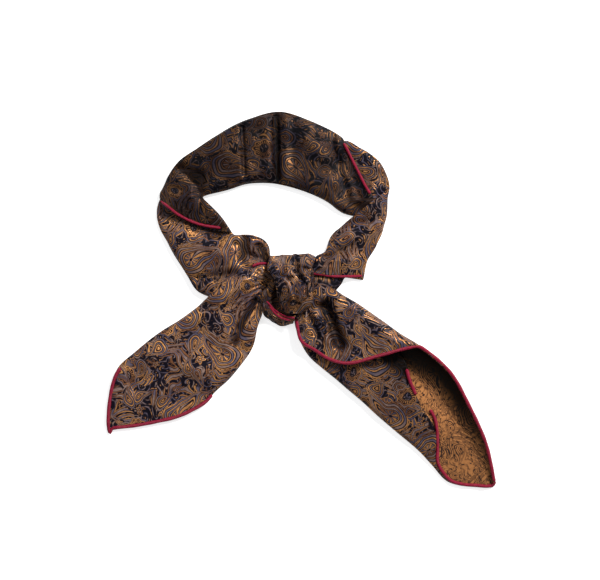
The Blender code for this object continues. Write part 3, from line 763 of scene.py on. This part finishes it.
class Num:
    """A shader value that plain arithmetic builds on."""

    def __init__(self, finish, socket):
        self.finish = finish
        self.socket = socket

    def by(self, operation, *others):
        made = self.finish.node("ShaderNodeMath", {"operation": operation}, [self, *others])
        return Num(self.finish, made.outputs[0])

    def __add__(self, other):
        return self.by("ADD", other)

    def __sub__(self, other):
        return self.by("SUBTRACT", other)

    def __rsub__(self, other):
        return self * -1 + other

    def __mul__(self, other):
        return self.by("MULTIPLY", other)

    def __truediv__(self, other):
        return self.by("DIVIDE", other)

    def __pow__(self, other):
        return self.by("POWER", other)

    __radd__ = __add__
    __rmul__ = __mul__

    def at_least(self, other):
        return self.by("MAXIMUM", other)

    def at_most(self, other):
        return self.by("MINIMUM", other)

    def abs(self):
        return self.by("ABSOLUTE")

    def sin(self):
        return self.by("SINE")

    def cos(self):
        return self.by("COSINE")

    def fract(self):
        return self.by("FRACT")

    def arctan2(self, other):
        return self.by("ARCTAN2", other)

    def share(self):
        return self.at_least(0.0).at_most(1.0)


class Finish:
    """One procedural material and the way its nodes are made."""

    def __init__(self, name):
        self.material = bpy.data.materials.new(name)
        self.material.use_nodes = True
        self.tree = self.material.node_tree
        self.shader = self.tree.nodes["Principled BSDF"]

    def node(self, kind, settings=(), sockets=()):
        """A node of this kind: its settings first, then its sockets by order or by name."""
        made = self.tree.nodes.new(kind)
        for key, value in dict(settings).items():
            setattr(made, key, value)
        named = sockets.items() if isinstance(sockets, dict) else enumerate(sockets)
        for key, value in named:
            self.feed(made.inputs[key], value)
        return made

    def feed(self, socket, value):
        """Set a socket, or link it."""
        value = value.socket if isinstance(value, Num) else value
        if isinstance(value, bpy.types.NodeSocket):
            self.tree.links.new(value, socket)
        else:
            socket.default_value = value

    def set(self, **sockets):
        for key, value in sockets.items():
            self.feed(self.shader.inputs[key.replace("_", " ")], value)

    def point(self, x, y):
        return self.node("ShaderNodeCombineXYZ", sockets=[x, y]).outputs[0]

    def split(self, vector):
        parts = self.node("ShaderNodeSeparateXYZ", sockets=[vector])
        return [Num(self, parts.outputs[k]) for k in range(3)]

    def noise(self, x, y, size, detail=2.0):
        place = self.point(x / size, y / size)
        sockets = {"Vector": place, "Scale": 1.0, "Detail": detail}
        made = self.node("ShaderNodeTexNoise", {"noise_dimensions": "2D"}, sockets)
        return Num(self, made.outputs["Fac"])

    def blend(self, share, low, high, mode="MIX"):
        """Two colours mixed by a share."""
        settings = {"data_type": "RGBA", "blend_type": mode}
        return self.node("ShaderNodeMix", settings, {0: share, 6: low, 7: high}).outputs[2]

    def shaded(self, colour, *shares):
        """A colour times a share for each of red, green and blue."""
        grey = self.node("ShaderNodeCombineColor", sockets=shares).outputs[0]
        return self.blend(1.0, colour, grey, "MULTIPLY")

    def tone(self):
        """The painted light and shade that the mesh carries."""
        return Num(self, self.node("ShaderNodeAttribute", {"attribute_name": "tone"}).outputs["Fac"])

    def bump(self, strength, depth, height):
        """A surface direction from a height map, its depth in metres."""
        sockets = {"Strength": strength, "Distance": depth, "Height": height}
        return self.node("ShaderNodeBump", sockets=sockets).outputs[0]

    def cell(self, x, y, pitch, seed, randomness):
        """The way from the nearest motif's centre in millimetres, and two numbers of its own."""
        place = self.point(x / pitch + seed, y / pitch + seed * 0.7)
        sockets = {"Vector": place, "Scale": 1.0, "Randomness": randomness}
        made = self.node("ShaderNodeTexVoronoi", {"voronoi_dimensions": "2D"}, sockets)
        px, py, _ = self.split(made.outputs["Position"])
        own = self.split(made.outputs["Color"])
        return (x / pitch + seed - px) * pitch, (y / pitch + seed * 0.7 - py) * pitch, own[0], own[1]


def line(away, half, soft=0.3):
    """1 on a line, 0 off it, from the distance to its middle in millimetres."""
    return ((half - away.abs()) / soft + 0.5).share()


def lines(away, rows):
    """Lines side by side, each given by its distance outwards and its half width."""
    total = 0.0
    for offset, half in rows:
        total = line(away - offset, half) + total
    return total.share()


def inside(away, soft=0.3):
    """1 inside an outline and 0 outside it, from the distance outwards in millimetres."""
    return (0.5 - away / soft).share()


def laid(low, mask, high):
    """A value laid over another where the mask is 1."""
    return low + (high - low) * mask


def rotated(x, y, angle):
    """A point turned about the origin."""
    c, s = angle.cos(), angle.sin()
    return x * c - y * s, x * s + y * c


def teardrop(x, y, size):
    """How far out from a curled teardrop's outline, how far from its heart, and the angle there."""
    x, y = x / size, y / size + 0.45
    up = y.at_least(0.0)
    bent = x - up * up * 0.24
    wide = bent * 1.25 / (1 - up / 2.3).at_least(0.1) ** 0.7
    down = y.at_most(0.0)
    level = (wide * wide + down * down + up * up / 5.3) ** 0.5
    return (level - 1) * size * 0.85, level * size, bent.arctan2(y - 0.1)


def curls(f, x, y):
    """The ground: small curls that swell into leaves, gold with mauve between their turns."""
    dx, dy, pick, side = f.cell(x, y, 12.0, 3.0, 0.9)
    handed = ((pick - 0.5) * 60).share() * 2 - 1
    leaf = (f.noise(x, y + 50, 3.3, 1.0) - 0.5) * 2.8
    wave = ((dx * handed).arctan2(dy) * 2 + (dx * dx + dy * dy) ** 0.5 * 1.6 + side * FULL_TURN).sin()
    gold = ((wave + leaf - 1.1) * 2.8).share()
    mauve = ((leaf * 0.4 - wave - 0.66) * 2.8).share()
    return gold, mauve * (1 - gold)


def stems(f, x, y, away, gold, mauve):
    """Parallel stems that follow the large drops across the ground."""
    across = ((away + f.noise(x - 90, y, 16.0, 1.0) * 10) / 5.2).fract() * 5.2
    shows = ((f.noise(x + 33, y + 12, 18.0, 1.0) - 0.48) * 25).share() * inside(across - 4.0)
    gold = laid(gold, shows, lines(across, [(0.65, 0.36), (3.3, 0.28)]))
    return gold, laid(mauve, shows, line(across - 2.0, 0.65))


def florets(f, x, y, gold, mauve):
    """Small flowers scattered over the ground."""
    dx, dy, pick, side = f.cell(x, y, 13.0, 5.0, 0.85)
    far = (dx * dx + dy * dy) ** 0.5
    petals = far - 2.2 - (dx.arctan2(dy) * 5 + side * 6).cos() * 0.8
    shows = inside(petals - 0.8) * ((pick - 0.5) * 40).share()
    gold = laid(gold, shows, (line(petals, 0.34) + inside(far - 0.6)).share())
    return gold, laid(mauve, shows, inside(petals + 0.8) * (1 - inside(far - 1.1)))


def small_drops(f, x, y, gold, mauve):
    """Small teardrops with parallel rims and a bud."""
    dx, dy, pick, _ = f.cell(x, y, 21.0, 7.0, 0.75)
    dx, dy = rotated(dx, dy, pick * FULL_TURN)
    away, far, _ = teardrop(dx, dy, 4.6)
    shows = inside(away - 2.2)
    gold = laid(gold, shows, (lines(away, [(0, 0.34), (-2.3, 0.22)]) + inside(far - 0.8)).share())
    return gold, laid(mauve, shows, lines(away, [(1.4, 0.4), (-1.2, 0.3)]))


def flowers(f, x, y, gold, mauve):
    """Round flowers: a dark heart with stamens in a ring of fine petals and a scalloped rim."""
    dx, dy, pick, _ = f.cell(x, y, 34.0, 9.0, 0.7)
    far = (dx * dx + dy * dy) ** 0.5
    angle = dx.arctan2(dy)
    rim = far - 6.4 - (angle * 9).cos() * 0.45
    shows = inside(rim - 1.6) * ((pick - 0.55) * 40).share()
    petals = ((angle * 26).sin() * 1.5 + 0.4).share() * line(far - 4.3, 1.2)
    gold = laid(gold, shows, (petals + line(rim, 0.4)).share())
    stamens = ((f.noise(x, y, 1.1, 0.0) - 0.52) * 9).share() * inside(far - 2.4)
    return gold, laid(mauve, shows, (stamens + line(rim - 1.2, 0.4)).share())


def large_drops(place, inner, gold, mauve):
    """Large teardrops: parallel rims, a fan of petals at the heart, and the ground's curls above it."""
    away, far, angle = place
    wavy = (angle * 17).cos() * 0.5
    shows = inside(away - 4.6 - wavy)
    spokes = (angle * 8).sin()
    fan = line(far - 3.6, 2.4)
    fans = inside(far - 6.6)
    petals = (((spokes - 0.05) * 2.5).share() * fan + line(far - 6.5, 0.35)).share()
    within = inside(away + 4.0)
    gold_rims = lines(away, [(0, 0.38), (3.5, 0.28), (-3.1, 0.28)]) + line(away - 4.4 - wavy, 0.3)
    gold_in = laid(inner[0], fans, petals) * within
    mauve_in = laid(inner[1], fans, ((-0.5 - spokes) * 2.5).share() * fan) * within
    gold = laid(gold, shows, (gold_rims + gold_in).share())
    mauve_rims = lines(away, [(1.8, 0.7), (-1.5, 0.55)])
    return gold, laid(mauve, shows, (mauve_rims + mauve_in).share())


def paisley(f, x, y):
    """The weave's gold and mauve floats over its ink ground, as two shares."""
    wander = f.noise(x, y, 19.0, 1.0) - 0.5
    sway = f.noise(x + 300, y - 120, 21.0, 1.0) - 0.5
    x = x + wander * 9
    y = y + sway * 9
    dx, dy, pick, _ = f.cell(x, y, 46.0, 11.0, 0.65)
    dx, dy = rotated(dx, dy, pick * FULL_TURN)
    place = teardrop(dx, dy, 10.5)
    ground = curls(f, x, y)
    gold, mauve = stems(f, x, y, (dx * dx * 1.3 + dy * dy * 0.5) ** 0.5, *ground)
    gold, mauve = florets(f, x, y, gold, mauve)
    gold, mauve = small_drops(f, x, y, gold, mauve)
    gold, mauve = flowers(f, x, y, gold, mauve)
    return large_drops(place, ground, gold, mauve)


INK = (0.0045, 0.0036, 0.0080, 1)
MAUVE_COOL = (0.085, 0.070, 0.098, 1)
MAUVE_WARM = (0.200, 0.132, 0.110, 1)
GOLD_DULL = (0.250, 0.107, 0.050, 1)
GOLD = (0.660, 0.310, 0.110, 1)
REVERSE_GOLD = (0.480, 0.205, 0.072, 1)
REVERSE_INK = (0.020, 0.008, 0.006, 1)
CRIMSON = (0.31, 0.006, 0.036, 1)
CRIMSON_SHADE = (0.13, 0.003, 0.016, 1)
TABLE_GREY = (0.59, 0.59, 0.59, 1)
TABLE_PALE = (0.61, 0.61, 0.61, 1)
WEAVE_BUMP = (0.35, 0.00025)  # strength, and depth in metres
THREAD_BUMP = (0.5, 0.0004)


def cloth_place(f):
    """The flat cloth's x and y, in millimetres."""
    place = f.node("ShaderNodeUVMap", {"uv_map": "Cloth"}).outputs[0]
    x, y, _ = f.split(place)
    return x * 1000, y * 1000


def twill(x, y):
    """Fine slanting ribs of the weave."""
    return ((x + y * 0.8) * 8.2).sin() * 0.5 + ((x * 0.3 - y) * 11.0).sin() * 0.25


def silk_face():
    """The right side: ink ground with gold and mauve floats."""
    f = Finish("silk_face")
    x, y = cloth_place(f)
    gold, mauve = paisley(f, x, y)
    ribs = twill(x, y)
    worn = f.noise(x, y, 1.7, 1.0) * 0.7 + 0.65
    # painted light and shade carried by the mesh, times random wear and the twill's ribs; the painted
    # shade leans a little to blue
    lit = f.tone() * worn * (ribs * 0.10 + 1)
    cool = ((f.noise(x + 500, y, 13.0, 1.0) - 0.5) * 5 + 0.5).share()
    bright = ((f.noise(x, y + 500, 17.0, 2.0) - 0.5) * 5 + 0.5).share()
    colour = f.blend(mauve, INK, f.blend(cool, MAUVE_WARM, MAUVE_COOL))
    colour = f.blend(gold, colour, f.blend(bright, GOLD_DULL, GOLD))
    f.set(
        Base_Color=f.shaded(colour, lit, lit, lit**0.93),
        Roughness=0.50 - gold * 0.10,
        Metallic=gold * 0.7,
        Normal=f.bump(*WEAVE_BUMP, gold * 0.6 + mauve * 0.4 + ribs * 0.25),
        Specular_IOR_Level=0.07,
    )
    return f.material


def silk_reverse():
    """The wrong side: gold floats with the ground showing as dark lines."""
    f = Finish("silk_reverse")
    x, y = cloth_place(f)
    gold, mauve = paisley(f, x, y)
    ribs = twill(x, y)
    # painted light and shade carried by the mesh, times a random mottle and the twill's ribs
    lit = f.tone() * (f.noise(x, y, 6.0, 3.0) * 0.6 + 0.7) * (ribs * 0.12 + 1)
    specks = ((f.noise(x, y + 90, 2.4, 0.0) - 0.6) * 10).share()
    dark = (gold * 1.2 + mauve * 0.7 + specks * 0.6).share()
    f.set(
        Base_Color=f.shaded(f.blend(dark, REVERSE_GOLD, REVERSE_INK), lit, lit, lit),
        Roughness=0.40 + dark * 0.12,
        Metallic=0.6 - dark * 0.4,
        Normal=f.bump(*WEAVE_BUMP, ribs * 0.3 - dark * 0.5),
        Specular_IOR_Level=0.2,
    )
    return f.material


def hem_thread():
    """Red thread whipped round the rolled edge."""
    f = Finish("hem_thread")
    x, y = cloth_place(f)
    whips = (x * 7.5 + y * 2.2).sin()
    uneven = f.noise(x, y, 2.5, 3.0)
    f.set(
        Base_Color=f.blend((whips * 0.3 + uneven * 0.9 - 0.1).share(), CRIMSON_SHADE, CRIMSON),
        Roughness=0.5,
        Normal=f.bump(*THREAD_BUMP, whips * 0.5 + uneven),
        Specular_IOR_Level=0.2,
    )
    return f.material


def table_top():
    """The plain pale floor."""
    f = Finish("pale_table")
    x, y, _ = f.split(f.node("ShaderNodeTexCoord").outputs["Object"])
    f.set(
        Base_Color=f.blend(f.noise(x, y, 0.7), TABLE_GREY, TABLE_PALE),
        Roughness=0.9,
        Emission_Color=(1, 1, 1, 1),
        Emission_Strength=0.7,
    )
    return f.material


# Making


def dress(piece, nodes):
    """A piece rides on the scarf and stands for its nodes."""
    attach(piece, "root")
    if nodes:
        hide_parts(*nodes)


def make_scarf():
    """Every stretch from the table up, each draped over the heap of those before it."""
    face, reverse, thread = silk_face(), silk_reverse(), hem_thread()
    heap = Heap(*cad_box)

    def lay_hems(name):
        """A stretch's hems on the heap's top."""
        made = []
        for hem in HEMS_OVER.get(name, "").split():
            plan = even_path(HEM_PATHS[hem])
            height = heap.read(heap.cover(HEM_SLOPE, 0), plan[:, 0], plan[:, 1])
            height = np.pad(height, HEM_SPAN // 2, mode="edge")
            height = np.convolve(height, np.ones(HEM_SPAN) / HEM_SPAN, mode="valid")
            radius = HEM_RADII[hem.split("_")[1]]
            height = np.maximum(height + radius * HEM_SINK, radius * HEM_FLAT)
            piece = add_hem(hem, np.column_stack([plan, height]), radius, thread)
            dress(piece, [] if hem in SCENE_HEMS else [hem])
            made.append(piece)
        return made

    def lay(name):
        """One folded stretch with its hems."""
        rows, stations, across, tone, turn, shift = STRETCHES[name]
        cover = heap.cover(*TIGHT.get(name, (HEAP_SLOPE, HEAP_SPREAD)))
        rings, middle, ahead = lens_rings(name, rows, stations, across, heap, cover)
        uv = cloth_map(rings, ahead, [(0, middle, 1, 1)], turn, shift)
        # painted shade of the stretch, darker still in its creases and lighter on its ridges
        painted_shading = tone * crease_shade(name, rings)
        cloth, points, faces = add_cloth(name + "_cloth", rings, uv, [face], painted_shading.ravel())
        heap.add(points, faces)
        dress(cloth, [name])
        hems = lay_hems(name)

    def lay_scroll(name):
        """The curled right tail and its hems: its reverse shows between flap and turn-over."""
        cover = heap.cover(HEAP_SLOPE, HEAP_SPREAD)
        rings, edge, starts, ahead, painted_shading = scroll_rings(TAIL_RIGHT, SCROLL_STATIONS, heap, cover)
        rim, flap, turned = starts
        runs = [(0, rim, 1, -1), (flap + 1, turned, -1, -1)]
        uv = cloth_map(rings, ahead, runs, *SCROLL_WEAVE)
        sides = [1 if flap < j < turned - 1 else 0 for j in range(rings.shape[1])]
        # painted shade in the flap's creases and painted light on its ridges
        painted_shading[:, :flap] *= crease_shade(name, rings[:, :flap])
        painted_shading = painted_shading.ravel()
        cloth, points, faces = add_cloth(name + "_cloth", rings, uv, [face, reverse], painted_shading, sides)
        heap.add(points, faces)
        dress(cloth, [name])
        radius = HEM_RADII["tail"]
        edge[:, 2] = np.maximum(edge[:, 2], radius * HEM_FLAT)
        hem = add_hem("hem_" + name, even_path(edge), radius, thread)
        dress(hem, ["hem_" + name])
        hems = [hem] + lay_hems(name)

    for name in STRETCHES:
        if name == "knot_core":  # the knot covers the start of both tails
            lay_scroll("tail_right")
        lay(name)


# Place, side in metres, watts and colour.
LIGHTS = {
    "key_light": ((0.75, 0.85, 1.0), 0.35, 38, (1.0, 0.97, 0.94)),
    "soft_light": ((-0.9, 0.5, 1.2), 0.9, 5, (0.97, 0.98, 1.0)),
}
ROOM_COLOUR = (0.97, 0.98, 1.0, 1)
ROOM_LIGHT = 0.28
FLOOR_SIDE = 8
FLOOR_DROP = 0.0002  # how far the floor lies below the scarf
LENS = 100  # focal length and sensor width, in millimetres
SENSOR = 36


def add_light(name, place, side, power, colour):
    """A square soft light aimed at the scarf."""
    lamp = bpy.data.lights.new(name, "AREA")
    lamp.size = side
    lamp.energy = power
    lamp.color = colour
    light = bpy.data.objects.new(name, lamp)
    light.location = place
    light.rotation_euler = (-Vector(place)).to_track_quat("-Z", "Y").to_euler()
    bpy.context.scene.collection.objects.link(light)


def studio():
    """Pale floor, soft lights and a camera straight above, framed as the photo is."""
    bpy.ops.mesh.primitive_plane_add(size=FLOOR_SIDE, location=(0, 0, -FLOOR_DROP))
    floor = bpy.context.object
    floor.name = "pale_floor"
    floor.data.materials.append(table_top())

    for name, light in LIGHTS.items():
        add_light(name, *light)
    world = bpy.data.worlds.new("soft_room")
    world.use_nodes = True
    room = world.node_tree.nodes["Background"].inputs
    room["Color"].default_value = ROOM_COLOUR
    room["Strength"].default_value = ROOM_LIGHT
    bpy.context.scene.world = world
    bpy.context.scene.view_settings.view_transform = "Standard"

    lens = bpy.data.cameras.new("camera")
    lens.lens = LENS
    lens.sensor_width = SENSOR
    height = PHOTO_WIDE * PHOTO_PIXEL * MM * LENS / SENSOR
    camera = bpy.data.objects.new("camera", lens)
    camera.location = (PHOTO_CENTRE[0] * MM, PHOTO_CENTRE[1] * MM, height)
    bpy.context.scene.collection.objects.link(camera)
    bpy.context.scene.camera = camera


make_scarf()
studio()
